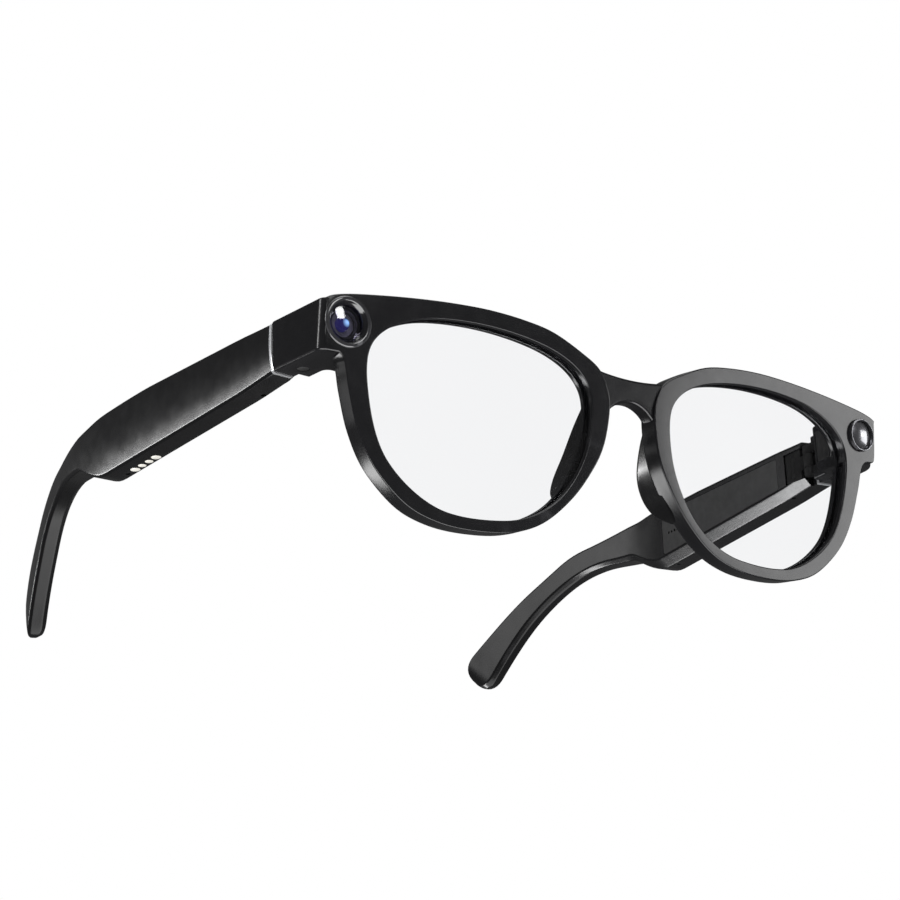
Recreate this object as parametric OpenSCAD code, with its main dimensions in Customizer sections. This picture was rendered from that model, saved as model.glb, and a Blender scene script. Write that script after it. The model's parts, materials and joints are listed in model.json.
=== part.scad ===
// Smart glasses: a moulded front with a camera and a light, and two electronics temples on hinges.
// +X is the wearer's left, the front faces -Y, +Z is up. They stand on the rims and the ear tips.

/* [Front] */
// Half of the width over the hinge seams
half_width = 74; // [73.8:0.1:74.4]
// Depth of the rims from front to back
rim_depth = 4.6; // [4.5:0.1:5]
// Forward lean of the front's top edge when the glasses stand on a table, in degrees
front_tilt = 4.4; // [4:0.1:5]
// Angle by which each half of the front wraps back, in degrees
wrap = 2.1; // [1.8:0.1:2.4]
// Thickness of the flat lenses
lens_thick = 1.7; // [1.5:0.1:1.9]
// Depth of the lens groove in the rim
groove_deep = 0.7; // [0.5:0.1:0.8]

/* [Temples] */
// Outward splay of the temples, in degrees
splay = 5.9; // [5.5:0.1:6.3]
// Downward pitch of the temples from the front's own axis, in degrees
pitch = 6.9; // [6.6:0.1:7.2]
// Thickness of the temple housing
temple_thick = 7.8; // [7.8:0.1:8]
// Height of the temple at the hinge
height_front = 10.2; // [10:0.1:10.6]
// Height of the temple housing at its rear end
height_rear = 14.2; // [13.8:0.1:14.4]
// Length of the straight housing
housing_len = 58.5; // [58:0.5:60]
// Distance along the temple from the seam to the end of the ear tip
tip_end = 127; // [124:0.5:128]
// Wall thickness of the housings
wall = 1.3; // [1.2:0.1:1.4]

/* [Modules] */
// Diameter of the camera bezel
bezel_d = 9; // [8.8:0.1:9.1]
// Diameter of the camera barrel
barrel_d = 5; // [4.8:0.1:5.1]
// Diameter of the light's ring
light_d = 7.2; // [7:0.1:7.6]
// Diameter of the hinge pins
pin_d = 1.2; // [1:0.1:1.3]
// Diameter of the hinge knuckles
knuckle_d = 3; // [2.9:0.1:3.1]
// Clearance between parts that move or slide together
gap = 0.05; // [0.04:0.01:0.08]

/* [Hidden] */
$fn = 48;
eps = 0.01;
big = 40;
// Distance of the front edge and of the rim bottoms from the row's origin
origin_y = -73.1;
origin_z = 25.92;
// Outer top edge of the hinge seam, from the bridge
seam_y = 19.1;
seam_z = 11.8;
// Centre of the camera and of the light in each half of the front
module_x = 66.6;
module_z = 9.65;
// Silver ring at the seam, and the slit in front of it
ring_thick = 0.65;
seam_slit = 0.1;
endpiece_back = -ring_thick - seam_slit;
endpiece_len = 17;
// Block behind the front corner that holds the camera or the light
block_in = 11.6;
block_back = -7.3;
corner_r = 2;
corner_x = 72.6;
// Pocket in that block, and the opening towards the wearer that its cover closes
pocket_wall = 0.9;
pocket_side = 1.3;
pocket_front = -13.6;
pocket_low = 1;
opening_front = -13;
opening_back = 1.5;
opening_low = 1.6;
opening_top = 1.5;
// Ridge of each nose pad, from top to bottom, and its radius
pad_ridge = [[8.9, 6, -0.5], [10.1, 8, -7], [12, 8.3, -11.5], [13.8, 6.8, -15]];
pad_r = 1.4;
// Arch of the bridge
arch_r = 7.4;
arch_top = 5.2;
// Depth of the lenses, of the bezel's bore and of the barrel's bore, behind the front face
lens_y = 1.2;
bezel_back = 2.4;
light_back = 2.35;
barrel_front = 2.42;
barrel_back = 6.6;
barrel_bore_y = 8;
// Glass parts of the camera, its sensor and its board
element_r = 1.97;
sensor_y = 6.65;
sensor_deep = 0.55;
camera_board_y = 7.22;
board_deep = 0.6;
led_y = 6.2;
light_board_y = 7.22;
// Microphone port under each end piece
mic_x = -4.1;
mic_s = -5.1;
mic_r = 1.2;
mic_port_r = 0.4;
// Wire passage between the front and the temple
wire_x0 = -4.4;
wire_x1 = -2.4;
wire_z0 = -6.5;
wire_z1 = -4;
// Hinge axis in the temple's frame, and the heights of the three knuckles
axis_x = -6.7;
axis_s = -0.35;
knuckle_top = -1.6;
knuckle_low = -8.6;
middle_top = -3.5;
middle_low = -6.7;
knuckle_gap = 0.1;
leaf_thick = 1.4;
leaf_x = axis_x - leaf_thick / 2;
front_leaf_len = 3.4;
rear_leaf_len = 5.4;
notch_x = -5;
front_notch = 1.75;
rear_notch = 1.5;
// Screws of the hinge leaves
screw_d = 1;
screw_head_d = 1.7;
screw_head_h = 0.5;
screw_len = 3.2;
screw_rows = [-3, -7.2];
front_screw_s = -4.9;
rear_screw_s = 5;
// Housing cavity and its cover
chamfer = 2.2;
seat_start = 10.5;
seat_end = 57.5;
seat_top = 1.4;
seat_low = 2.4;
cover_thick = 1.2;
ledge = 0.6;
fit = 0.03;
// Charging contacts and holes under the housing
contact_s = [45.5, 48.1, 50.7, 53.3];
contact_r = [1, 0.8, 0.8, 1];
contact_x = -4.4;
contact_len = 3;
sound_hole_s = 56;
reset_hole_s = 8.7;
hole_r = 0.5;
// Button on top of each temple
button_s = 19;
button_x = -3.9;
button_len = 8;
button_w = 2.6;
button_proud = 0.35;
button_travel = 0.3;
flange = 0.5;
flange_h = 0.7;
switch_h = 1.1;
switch_size = [2.4, 4, 0.5];
// Parts inside the housing: heights of the battery and boards, and their ends along the temple
inside_top = -3.9;
inside_low = -7.7;
cell_start = 13;
cell_end = 44;
cell_in = -6.4;
board_x0 = -2.4;
board_x1 = -1.7;
speaker_start = 46.2;
speaker_end = 55.8;
speaker_x0 = -6;
speaker_x1 = -2.6;
ring_wall = 0.9;
// Steel wire in the ear tip
wire_r = 0.7;
wire_end = 117;
// Brow channel for the flat cable
channel_w = 1.3;
cable_thick = 0.25;
cable_y = 3.35;
brow_cover_y = 3.65;
bridge_y = 0.8;

// ---------- curves ----------
function spline(p0, p1, p2, p3, t) = 0.5 * (2 * p1 + (p2 - p0) * t
    + (2 * p0 - 5 * p1 + 4 * p2 - p3) * t * t + (3 * p1 - p0 - 3 * p2 + p3) * t * t * t);
function closed_curve(p, n) = let (m = len(p))
    [for (i = [0:m - 1]) for (k = [0:n - 1])
        spline(p[(i + m - 1) % m], p[i], p[(i + 1) % m], p[(i + 2) % m], k / n)];
function open_curve(p, n) = let (m = len(p) - 1)
    concat([for (i = [0:m - 1]) for (k = [0:n - 1])
        spline(p[max(i - 1, 0)], p[i], p[i + 1], p[min(i + 2, m)], k / n)], [p[m]]);
function mix(a, b, t) = a + (b - a) * t;
function smooth(t) = let (u = min(max(t, 0), 1)) u * u * (3 - 2 * u);
function unit(v) = v / norm(v);

// ---------- outlines of one half of the front: x outward from the bridge, z up ----------
lens_centre = [36, -3];
lens_knots = [[61.5, -3], [60.8, 7], [51.3, 13], [35, 14.6], [19.2, 12.3], [11, 6.4],
    [10.7, -3.8], [14.5, -13], [21, -19.6], [30.5, -23.1], [45.5, -22.7], [57, -15]];
rim_knots = [[67, 15.1], [59, 16.3], [51, 17.2], [43, 17.8], [35, 18], [27, 17.5], [20, 16.3],
    [13, 13.4], [8.4, 10.6], [6.2, 6.5], [5.8, 2.3], [7, -4.5], [9.6, -10], [14.5, -16.6],
    [21.3, -22.4], [29, -25.3], [38, -26.1], [46, -25.4], [53, -22.8], [59.5, -16.6],
    [63.2, -10], [65.4, -3], [66.6, 2.2]];
corner_knots = [[67.3, 3.4], [68.6, 4], [72, 4], [72.6, 4.6], [72.6, 13.4], [71.8, 14.2]];
brow_knots = [[0, 8.8], [5, 9.2], [12, 11.6], [20, 14.5], [28, 15.9], [36, 16.4], [44, 16],
    [52, 15.2], [60, 13.4], [63, 12]];
function grown(points, by) = [for (p = points) p + by * unit(p - lens_centre)];
function lens_outline(by) = grown(closed_curve(lens_knots, 6), by);
function plate_outline() = concat(open_curve(rim_knots, 4), corner_knots);
function brow_outline(half_w) = let (c = open_curve(brow_knots, 4), m = len(c) - 1,
    n = [for (i = [0:m]) let (d = unit(c[min(i + 1, m)] - c[max(i - 1, 0)])) [-d[1], d[0]]])
    concat([for (i = [0:m]) c[i] + half_w * n[i]], [for (i = [m:-1:0]) c[i] - half_w * n[i]]);

// ---------- frames ----------
module in_front() {
    translate([0, origin_y, origin_z]) rotate([front_tilt, 0, 0]) children();
}
module sided(side) {
    if (side > 0) children();
    else mirror([1, 0, 0]) children();
}
module half_frame() {
    rotate([0, 0, wrap]) children();
}
module temple_frame() {
    translate([half_width, seam_y, seam_z]) rotate([-pitch, 0, 0]) rotate([0, 0, -splay]) children();
}
module on_half(side) {
    in_front() sided(side) half_frame() children();
}
module on_temple(side) {
    in_front() sided(side) temple_frame() children();
}
// An outline in x and z, between two depths
module upright(y0, y1) {
    translate([0, y1, 0]) rotate([90, 0, 0]) linear_extrude(y1 - y0) children();
}
// A box from its two opposite corners
module block(a, b) {
    translate(a) cube(b - a);
}
// A cylinder along +Y from y0 to y1, at the module's centre
module round_y(r, y0, y1) {
    translate([module_x, y1, module_z]) rotate([90, 0, 0]) cylinder(r = r, h = y1 - y0);
}
// A disc with spherical faces, along +Y, between depths y0 and y1
module glass_y(r, y0, y1, front_r) {
    intersection() {
        round_y(r, y0, y1);
        translate([module_x, y0 + front_r, module_z]) sphere(r = front_r, $fn = 96);
    }
}
module turned_y(points) {
    translate([module_x, 0, module_z]) rotate([-90, 0, 0]) rotate_extrude() polygon(points);
}

// ---------- front ----------
module corner_round() {
    translate([corner_x - corner_r, corner_r, 0]) difference() {
        block([0, -2 * corner_r, 0], [2 * corner_r, 0, 20]);
        cylinder(r = corner_r, h = 20);
    }
}
module bridge_shape() {
    upright(bridge_y, rim_depth) difference() {
        polygon([[-9.5, 1], [9.5, 1], [9.5, 10.9], [6, 10.3], [0, 10.1], [-6, 10.3], [-9.5, 10.9]]);
        translate([0, arch_top - arch_r]) circle(r = arch_r);
    }
}
module half_plate() {
    half_frame() upright(0, rim_depth) polygon(plate_outline());
    temple_frame() {
        block([-temple_thick, -endpiece_len, -height_front], [0, endpiece_back, 0]);
        block([-block_in, -endpiece_len, -height_front], [-temple_thick + 1, block_back, 0]);
    }
}
module half_cuts(is_camera) {
    half_frame() {
        // everything in front of the front face
        block([corner_x - 20, -6, -5], [corner_x + 8, 0, 25]);
        corner_round();
        upright(-1, rim_depth + 1) polygon(lens_outline(0));
        upright(lens_y - fit, lens_y + lens_thick + fit) polygon(lens_outline(groove_deep));
        upright(cable_y, rim_depth + 1) polygon(brow_outline(channel_w / 2));
        round_y((is_camera ? bezel_d : light_d) / 2 + gap, -3, bezel_back);
        round_y(barrel_d / 2 + 2 * gap, bezel_back - 0.5, barrel_bore_y);
    }
    temple_frame() {
        // pocket for the camera or the light, and its opening towards the wearer
        block([-block_in + pocket_wall, pocket_front, -height_front + pocket_low],
            [-pocket_side, block_back - pocket_wall, -pocket_wall]);
        block([-block_in - 1, opening_front, -height_front + opening_low],
            [-block_in + pocket_wall + eps, block_back - opening_back, -opening_top]);
        // relief around the hinge, and the seat of the front leaf
        block([-temple_thick - 5, endpiece_back - front_notch, -big / 2], [notch_x, 1, 1]);
        block([-temple_thick - 1, -front_leaf_len - 3.3, knuckle_low - 0.1],
            [leaf_x + leaf_thick, 1, knuckle_top + 0.1]);
        for (z = screw_rows) leaf_screw(front_screw_s, z, fit);
        // wire passage from the pocket to the temple
        block([wire_x0, block_back - 2, wire_z0], [wire_x1, 1, wire_z1]);
        // microphone port
        translate([mic_x, mic_s, -height_front - 1]) {
            cylinder(r = mic_r, h = 1.5);
            cylinder(r = mic_port_r, h = 3);
        }
    }
}
module front_frame() color("#1c1c1e") in_front() difference() {
    union() {
        for (side = [-1, 1]) sided(side) half_plate();
        bridge_shape();
    }
    sided(-1) half_cuts(true);
    sided(1) half_cuts(false);
}
module brow_band(y0, y1, trim) {
    in_front() for (side = [-1, 1]) sided(side) half_frame()
        upright(y0, y1) polygon(brow_outline(channel_w / 2 - trim));
}
module brow_cover() color("#232325") brow_band(brow_cover_y, rim_depth, fit);
module brow_cable() color("#a8652a") brow_band(cable_y + fit, cable_y + fit + cable_thick, fit);
module lens(side) color("#eef3f5") on_half(side)
    upright(lens_y, lens_y + lens_thick) polygon(lens_outline(groove_deep - fit));
module nose_pad(side) color("#1a1a1c") on_half(side) difference() {
    hull() {
        for (p = pad_ridge) translate(p) sphere(r = pad_r, $fn = 24);
        translate([7, rim_depth - 1, 0]) cube([3, 1.2, 4.6]);
        translate([13.4, rim_depth - 1, -17.2]) cube([2.4, 1.2, 3]);
    }
    block([0, -1, -20], [20, rim_depth + eps, 10]);
}
module endpiece_cover(side) color("#222224") on_temple(side)
    block([-block_in, opening_front + fit, -height_front + opening_low + fit],
        [-block_in + pocket_wall - gap, block_back - opening_back - fit, -opening_top - fit]);
module front_mic_mesh(side) color("#9a9a9c") on_temple(side)
    translate([mic_x, mic_s, -height_front + 0.05]) cylinder(r = mic_r - fit, h = 0.4);

// ---------- camera ----------
module camera_bezel() color("#101012") on_half(-1) turned_y([[3.35, 0.7], [4.1, -0.35],
    [bezel_d / 2, -0.35], [bezel_d / 2, bezel_back], [2.6, bezel_back], [2.6, 1.6], [3.38, 1.6]]);
module camera_window() color("#20242c") on_half(-1) glass_y(3.35, 0.35, 1.6, 9);
module camera_barrel() color("#2c2c30") on_half(-1) difference() {
    round_y(barrel_d / 2, barrel_front, barrel_back);
    round_y(1.4, barrel_front - 0.4, barrel_front + 0.6);
    round_y(element_r + fit, barrel_front + 0.5, barrel_back + 0.4);
}
module camera_lens_front() color("#9fb4d8") on_half(-1) glass_y(element_r, 2.95, 3.75, 5);
module camera_lens_middle() color("#a8bcdc") on_half(-1) round_y(element_r, 4, 4.5);
module camera_lens_rear() color("#b2c4e0") on_half(-1) glass_y(element_r, 4.75, 5.6, 6);
module camera_filter() color("#6f8fae") on_half(-1) round_y(element_r, 5.9, 6.2);
module camera_sensor() color("#38424a") on_half(-1)
    block([module_x - 2.2, sensor_y, module_z - 2.4],
        [module_x + 2.2, sensor_y + sensor_deep, module_z + 1.9]);
module camera_board() color("#1d5a38") on_half(-1)
    block([module_x - 2.7, camera_board_y, module_z - 3.6],
        [module_x + 2.7, camera_board_y + board_deep, module_z + 1.9]);

// ---------- light ----------
module light_ring() color("#3a3a3c") on_half(1) turned_y([[3.25, -0.55], [3.35, -0.8],
    [light_d / 2 - 0.1, -0.8], [light_d / 2, -0.7], [light_d / 2, light_back], [2, light_back],
    [2, 1.4], [3.25, 1.4]]);
module light_lens() color("#d8d8dc") on_half(1) glass_y(3.22, -0.7, 1.38, 8);
module light_led() color("#e8e2b0") on_half(1)
    block([module_x - 1.5, led_y, module_z - 1.5], [module_x + 1.5, led_y + 1, module_z + 1.5]);
module light_board() color("#1d5a38") on_half(1)
    block([module_x - 2.7, light_board_y, module_z - 3.4],
        [module_x + 2.7, light_board_y + board_deep, module_z + 2]);

// ---------- hinges: the temple's frame has s along +Y and the outer face at x = 0 ----------
module knuckle(z0, z1) {
    translate([axis_x, axis_s, z0]) cylinder(d = knuckle_d, h = z1 - z0);
}
module leaf_screw(s, z, more) {
    translate([leaf_x, s, z]) rotate([0, 90, 0]) {
        cylinder(d = screw_head_d + 2 * more, h = screw_head_h + more);
        cylinder(d = screw_d + 2 * more, h = screw_len + more);
    }
}
module front_leaf(side) color("#8f9296") on_temple(side) difference() {
    union() {
        for (z = [[middle_top + knuckle_gap, knuckle_top], [knuckle_low, middle_low - knuckle_gap]]) {
            knuckle(z[0], z[1]);
            block([leaf_x, -3.3, z[0]], [leaf_x + leaf_thick, axis_s, z[1]]);
        }
        block([leaf_x, -front_leaf_len - 3.2, knuckle_low], [leaf_x + leaf_thick, -3.2, knuckle_top]);
    }
    translate([axis_x, axis_s, -12]) cylinder(d = pin_d, h = 14);
    for (z = screw_rows) leaf_screw(front_screw_s, z, 0);
}
module temple_leaf(side) color("#8f9296") on_temple(side) difference() {
    union() {
        knuckle(middle_low, middle_top);
        block([leaf_x, axis_s, middle_low], [leaf_x + leaf_thick, 3, middle_top]);
        block([leaf_x, 2.2, knuckle_low], [leaf_x + leaf_thick, 2.2 + rear_leaf_len, knuckle_top]);
    }
    translate([axis_x, axis_s, -12]) cylinder(d = pin_d + 2 * gap, h = 14);
    for (z = screw_rows) leaf_screw(rear_screw_s, z, 0);
}
module hinge_pin(side) color("#b9bcc0") on_temple(side) {
    translate([axis_x, axis_s, knuckle_low]) cylinder(d = pin_d, h = knuckle_top - knuckle_low);
}
module front_hinge_screws() color("#6d7074") for (side = [-1, 1]) on_temple(side)
    for (z = screw_rows) leaf_screw(front_screw_s, z, 0);
module hinge_screws(side) color("#6d7074") on_temple(side)
    for (z = screw_rows) leaf_screw(rear_screw_s, z, 0);

// ---------- temples ----------
function low_edge(s) = -mix(height_front, height_rear, s / housing_len);
function neck(s) = smooth((s - housing_len) / 13);
function tip_x(s) = -temple_thick / 2 - 0.012 * pow(max(s - housing_len, 0), 1.75);
function tip_z(s) = mix(-height_rear / 2, -5.4, neck(s)) - 0.0123 * pow(max(s - 80, 0), 2);
function tip_round(s) = sqrt(max(1 - pow(max(s - tip_end + 5, 0) / 5, 2), 0.02));
function tip_half_h(s) = mix(height_rear / 2, 2.95 + 0.0025 * pow(s - 94, 2), neck(s)) * tip_round(s);
function tip_half_w(s) = mix(temple_thick / 2, 2.4, smooth((s - 60) / 38)) * tip_round(s);
function tip_at(s) = [tip_x(s), s, tip_z(s)];
function tip_along(s) = s <= housing_len + fit ? [0, 1, 0] : unit(tip_at(s + 0.1) - tip_at(s - 0.1));
// Corner exponent of the section: nearly square at the housing, oval at the tip
function tip_power(s) = mix(0.18, 0.75, neck(s));
function swell(v, p) = sign(v) * pow(abs(v), p);
function tip_ring(s, n) =
    let (t = tip_along(s), w = unit([t[1], -t[0], 0]), h = cross(w, t), p = tip_power(s))
    [for (k = [0:n - 1]) let (a = 360 * (k + 0.5) / n)
        tip_at(s) + w * tip_half_w(s) * swell(cos(a), p) + h * tip_half_h(s) * swell(sin(a), p)];
function wire_ring(s, n, r) = let (t = tip_along(s), w = unit([t[1], -t[0], 0]), h = cross(w, t))
    [for (k = [0:n - 1]) let (a = 360 * (k + 0.5) / n) tip_at(s) + r * (w * cos(a) + h * sin(a))];
// Two triangles for each quad between ring i and ring j
function band(i, j, n) = [for (k = [0:n - 1]) each let (l = (k + 1) % n)
    [[i * n + k, j * n + l, j * n + k], [i * n + k, i * n + l, j * n + l]]];
function bands(m, n) = [for (i = [0:m - 2]) each band(i, i + 1, n)];
function cap(i, n, ahead) = [for (k = [0:n - 1]) i * n + (ahead ? n - 1 - k : k)];
// Solid ear tip around a blind channel for the core wire: the skin runs back along the outside,
// and the channel's wall runs from its blind end to the mouth at the housing
module ear_tip(side) color("#1a1a1c") on_temple(side) {
    n = 16;
    outer = concat([for (s = [housing_len:3:tip_end - 5]) s],
        [for (e = [3.6, 2.4, 1.3, 0.5, 0.05]) tip_end - e]);
    inner = [for (s = [wire_end + 0.5:-5:housing_len + 1]) s];
    rings = concat([for (s = inner) wire_ring(s, n, wire_r + fit)], [wire_ring(housing_len, n, wire_r + fit)],
        [for (s = outer) tip_ring(s, n)]);
    m = len(rings);
    polyhedron([for (r = rings) each r], concat(bands(m, n), [cap(0, n, true), cap(m - 1, n, false)]));
}
module core_wire(side) color("#a4a8ac") on_temple(side) {
    n = 16;
    rings = concat([wire_ring(housing_len + fit, n, wire_r)],
        [for (s = [wire_end - 55:5:wire_end]) wire_ring(s, n, wire_r)]);
    m = len(rings);
    polyhedron([for (r = rings) each r], concat(bands(m, n), [cap(0, n, true), cap(m - 1, n, false)]));
}
// Seat of the inner cover (trim 0), or the cavity behind it (trim = ledge)
module cavity_outline(trim) {
    polygon([[seat_start + trim, -seat_top - trim], [seat_end - trim, -seat_top - trim],
        [seat_end - trim, low_edge(seat_end) + seat_low + trim],
        [seat_start + trim, low_edge(seat_start) + seat_low + trim]]);
}
// An outline in s and z, between two x positions
module sideways(x0, x1) {
    translate([x0, 0, 0]) rotate([90, 0, 90]) linear_extrude(x1 - x0) children();
}
module pill(length, width, z0, z1, more) {
    for (e = [-1, 1]) translate([button_x, button_s + e * (length - width) / 2, z0])
        cylinder(d = width + 2 * more, h = z1 - z0);
    block([button_x - width / 2 - more, button_s - (length - width) / 2, z0],
        [button_x + width / 2 + more, button_s + (length - width) / 2, z1]);
}
// Placed on the sloping lower face at distance s, with +Z out of the housing's inside
module on_low_face(s) {
    slope = atan((height_rear - height_front) / housing_len);
    translate([0, s, low_edge(s)]) rotate([-slope, 0, 0]) children();
}
module temple_body() {
    difference() {
        sideways(-temple_thick, 0) polygon([[0, 0], [housing_len, 0], [housing_len, low_edge(housing_len)],
            [0, low_edge(0)]]);
        on_low_face(0) translate([-temple_thick, -5, 0]) rotate([0, 45, 0])
            block([-chamfer, 0, -chamfer], [chamfer * sqrt(2) / 2, housing_len + 4, chamfer * sqrt(2) / 2]);
    }
}
module temple_shell(side) color("#1a1a1c") on_temple(side) difference() {
    temple_body();
    sideways(-temple_thick - 1, -temple_thick + cover_thick) cavity_outline(0);
    sideways(-temple_thick, -wall) cavity_outline(ledge);
    // relief around the knuckles, seat of the temple leaf and its screws
    block([-temple_thick - 1, -1, -big / 2], [notch_x, rear_notch, 1]);
    block([-temple_thick - 1, -1, knuckle_low - 0.1],
        [leaf_x + leaf_thick, 2.3 + rear_leaf_len, knuckle_top + 0.1]);
    for (z = screw_rows) leaf_screw(rear_screw_s, z, fit);
    // wire passage behind the ring
    block([wire_x0, -1, wire_z0], [wire_x1, seat_start + 1, wire_z1]);
    pill(button_len, button_w, -seat_top - ledge - 1, 1, gap);
    on_low_face(sound_hole_s) translate([contact_x, 0, -1]) cylinder(r = hole_r, h = 5);
    on_low_face(reset_hole_s) translate([-4.9, 0, -1]) cylinder(r = hole_r, h = 2.5);
    if (side < 0) for (i = [0:3]) on_low_face(contact_s[i])
        translate([contact_x, 0, -1]) cylinder(r = contact_r[i] + fit, h = 5);
}
module temple_cover(side) color("#262628") on_temple(side) difference() {
    sideways(-temple_thick, -temple_thick + cover_thick - fit) cover_outline();
    translate([-temple_thick - 1, 51, -7]) rotate([0, 90, 0]) slot_row();
}
module cover_outline() {
    polygon([[seat_start + fit, -seat_top - fit], [seat_end - fit, -seat_top - fit],
        [seat_end - fit, low_edge(seat_end) + seat_low + fit],
        [seat_start + fit, low_edge(seat_start) + seat_low + fit]]);
}
module slot_row() {
    for (i = [-3:3]) translate([0, i * 1.2, 0]) cylinder(r = 0.35, h = 4);
}
module seam_ring(side) color("#d4d6d8") on_temple(side) difference() {
    block([notch_x, -ring_thick, -height_front], [0, 0, 0]);
    block([notch_x + ring_wall, -1, -height_front + ring_wall], [-ring_wall, 1, -ring_wall]);
}
module battery(side, x1) color("#5d6a78") on_temple(side)
    block([cell_in, cell_start, inside_low + 0.1], [x1, cell_end, inside_top]);
module main_board() color("#1d5a38") on_temple(-1)
    block([board_x0, cell_start - 1, inside_low], [board_x1, cell_end + 0.5, inside_top]);
module processor_shield() color("#b4b8bc") on_temple(-1)
    block([board_x0 - 0.9, 28, inside_low + 0.3], [board_x0 - eps, 40, inside_top - 0.3]);
module audio_board() color("#1d5a38") on_temple(1)
    block([board_x0, cell_start - 1, inside_low], [board_x1, cell_end + 0.5, inside_top]);
module speaker(side) color("#4a4a4e") on_temple(side)
    block([speaker_x0, speaker_start, -9.6], [speaker_x1, speaker_end, inside_top - 0.1]);
module speaker_mesh(side) color("#77787a") on_temple(side)
    block([speaker_x0 - 0.55, speaker_start + 0.4, -8], [speaker_x0 - 0.2, speaker_end - 0.4, -6]);
module touch_sensor() color("#b07a3a") on_temple(-1)
    block([-1.65, 13, -7.8], [-wall - eps, 44, -2.8]);
module charging_contacts() color("#d8cfa8") on_temple(-1) for (i = [0:3]) on_low_face(contact_s[i])
    translate([contact_x, 0, 0.05]) cylinder(r = contact_r[i], h = contact_len);
module charging_magnets() color("#8c8f94") on_temple(-1)
    for (s = [44.9, 51.9]) block([-2.5, s, low_edge(s) + 3.4], [-1.4, s + 2.6, low_edge(s) + 6]);
module button(side) color("#2c2c2e") on_temple(side) {
    pill(button_len, button_w, -seat_top - ledge - eps, button_proud, 0);
    pill(button_len + 2 * flange, button_w + 2 * flange, -seat_top - ledge - flange_h,
        -seat_top - ledge - eps, 0);
}
module button_switch(side) color("#8a8a8c") on_temple(side)
    translate([button_x, button_s, -seat_top - ledge - flange_h - button_travel - 0.02 - switch_h / 2])
        cube(switch_size, center = true);

front_frame();
brow_cover();
brow_cable();
lens(-1);  // lens_right
lens(1);  // lens_left
nose_pad(-1);  // nose_pad_right
nose_pad(1);  // nose_pad_left
endpiece_cover(-1);  // endpiece_cover_right
endpiece_cover(1);  // endpiece_cover_left
camera_bezel();
camera_window();
camera_barrel();
camera_lens_front();
camera_lens_middle();
camera_lens_rear();
camera_filter();
camera_sensor();
camera_board();
light_ring();
light_lens();
light_led();
light_board();
front_mic_mesh(-1);  // front_mic_mesh_right
front_mic_mesh(1);  // front_mic_mesh_left
front_leaf(-1);  // front_leaf_right
front_leaf(1);  // front_leaf_left
hinge_pin(-1);  // hinge_pin_right
hinge_pin(1);  // hinge_pin_left
front_hinge_screws();
temple_shell(-1);  // temple_shell_right
temple_cover(-1);  // temple_cover_right
seam_ring(-1);  // seam_ring_right
temple_leaf(-1);  // temple_leaf_right
battery(-1, -3.4);  // battery_right
main_board();
processor_shield();
speaker(-1);  // speaker_right
speaker_mesh(-1);  // speaker_mesh_right
touch_sensor();
charging_contacts();
charging_magnets();
ear_tip(-1);  // ear_tip_right
core_wire(-1);  // core_wire_right
hinge_screws(-1);  // hinge_screws_right
button(-1);  // capture_button
button_switch(-1);  // capture_switch
temple_shell(1);  // temple_shell_left
temple_cover(1);  // temple_cover_left
seam_ring(1);  // seam_ring_left
temple_leaf(1);  // temple_leaf_left
battery(1, -2.6);  // battery_left
audio_board();
speaker(1);  // speaker_left
speaker_mesh(1);  // speaker_mesh_left
ear_tip(1);  // ear_tip_left
core_wire(1);  // core_wire_left
hinge_screws(1);  // hinge_screws_left
button(1);  // power_button
button_switch(1);  // power_switch
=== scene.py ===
"""Smart glasses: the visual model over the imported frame.

Pieces are shaped in millimetres and scaled by done(). The floor, lights and camera are in metres.
"""

import json
from math import cos, pi, radians, sin, sqrt, tan

import bmesh
import bpy
from mathutils import Matrix, Vector

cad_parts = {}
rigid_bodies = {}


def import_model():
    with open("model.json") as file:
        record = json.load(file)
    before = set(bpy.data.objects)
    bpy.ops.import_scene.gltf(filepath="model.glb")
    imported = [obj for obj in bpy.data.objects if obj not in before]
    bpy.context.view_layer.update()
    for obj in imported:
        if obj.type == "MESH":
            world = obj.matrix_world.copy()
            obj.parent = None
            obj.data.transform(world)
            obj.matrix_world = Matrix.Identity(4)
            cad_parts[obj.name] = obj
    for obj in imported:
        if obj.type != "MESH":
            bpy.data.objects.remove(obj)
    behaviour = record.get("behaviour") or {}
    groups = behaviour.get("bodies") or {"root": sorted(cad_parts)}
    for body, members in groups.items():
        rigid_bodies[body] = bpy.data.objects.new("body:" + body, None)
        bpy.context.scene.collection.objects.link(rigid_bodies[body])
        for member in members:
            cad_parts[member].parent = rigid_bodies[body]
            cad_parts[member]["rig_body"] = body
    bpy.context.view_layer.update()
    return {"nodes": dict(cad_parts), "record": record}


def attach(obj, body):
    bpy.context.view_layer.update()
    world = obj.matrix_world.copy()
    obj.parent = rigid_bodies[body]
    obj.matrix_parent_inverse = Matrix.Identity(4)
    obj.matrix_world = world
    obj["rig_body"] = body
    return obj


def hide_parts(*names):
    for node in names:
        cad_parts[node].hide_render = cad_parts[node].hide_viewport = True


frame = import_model()

MM = 0.001
TO_METRES = Matrix.Diagonal((MM, MM, MM, 1))

# Frames: the front, each wrapped half of it, and the temple's own frame
FRONT_TILT, WRAP, SPLAY, PITCH = 4.4, 2.1, 5.9, 6.9
FRONT_ORIGIN = (0, -73.1, 25.92)
SEAM = (74, 19.1, 11.8)
FRONT = Matrix.Translation(FRONT_ORIGIN) @ Matrix.Rotation(radians(FRONT_TILT), 4, "X")
HALF = Matrix.Rotation(radians(WRAP), 4, "Z")
TEMPLE = (
    Matrix.Translation(SEAM)
    @ Matrix.Rotation(radians(-PITCH), 4, "X")
    @ Matrix.Rotation(radians(-SPLAY), 4, "Z")
)
RIGHT, LEFT = -1, 1
SIDE_NAME = {RIGHT: "right", LEFT: "left"}

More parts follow.
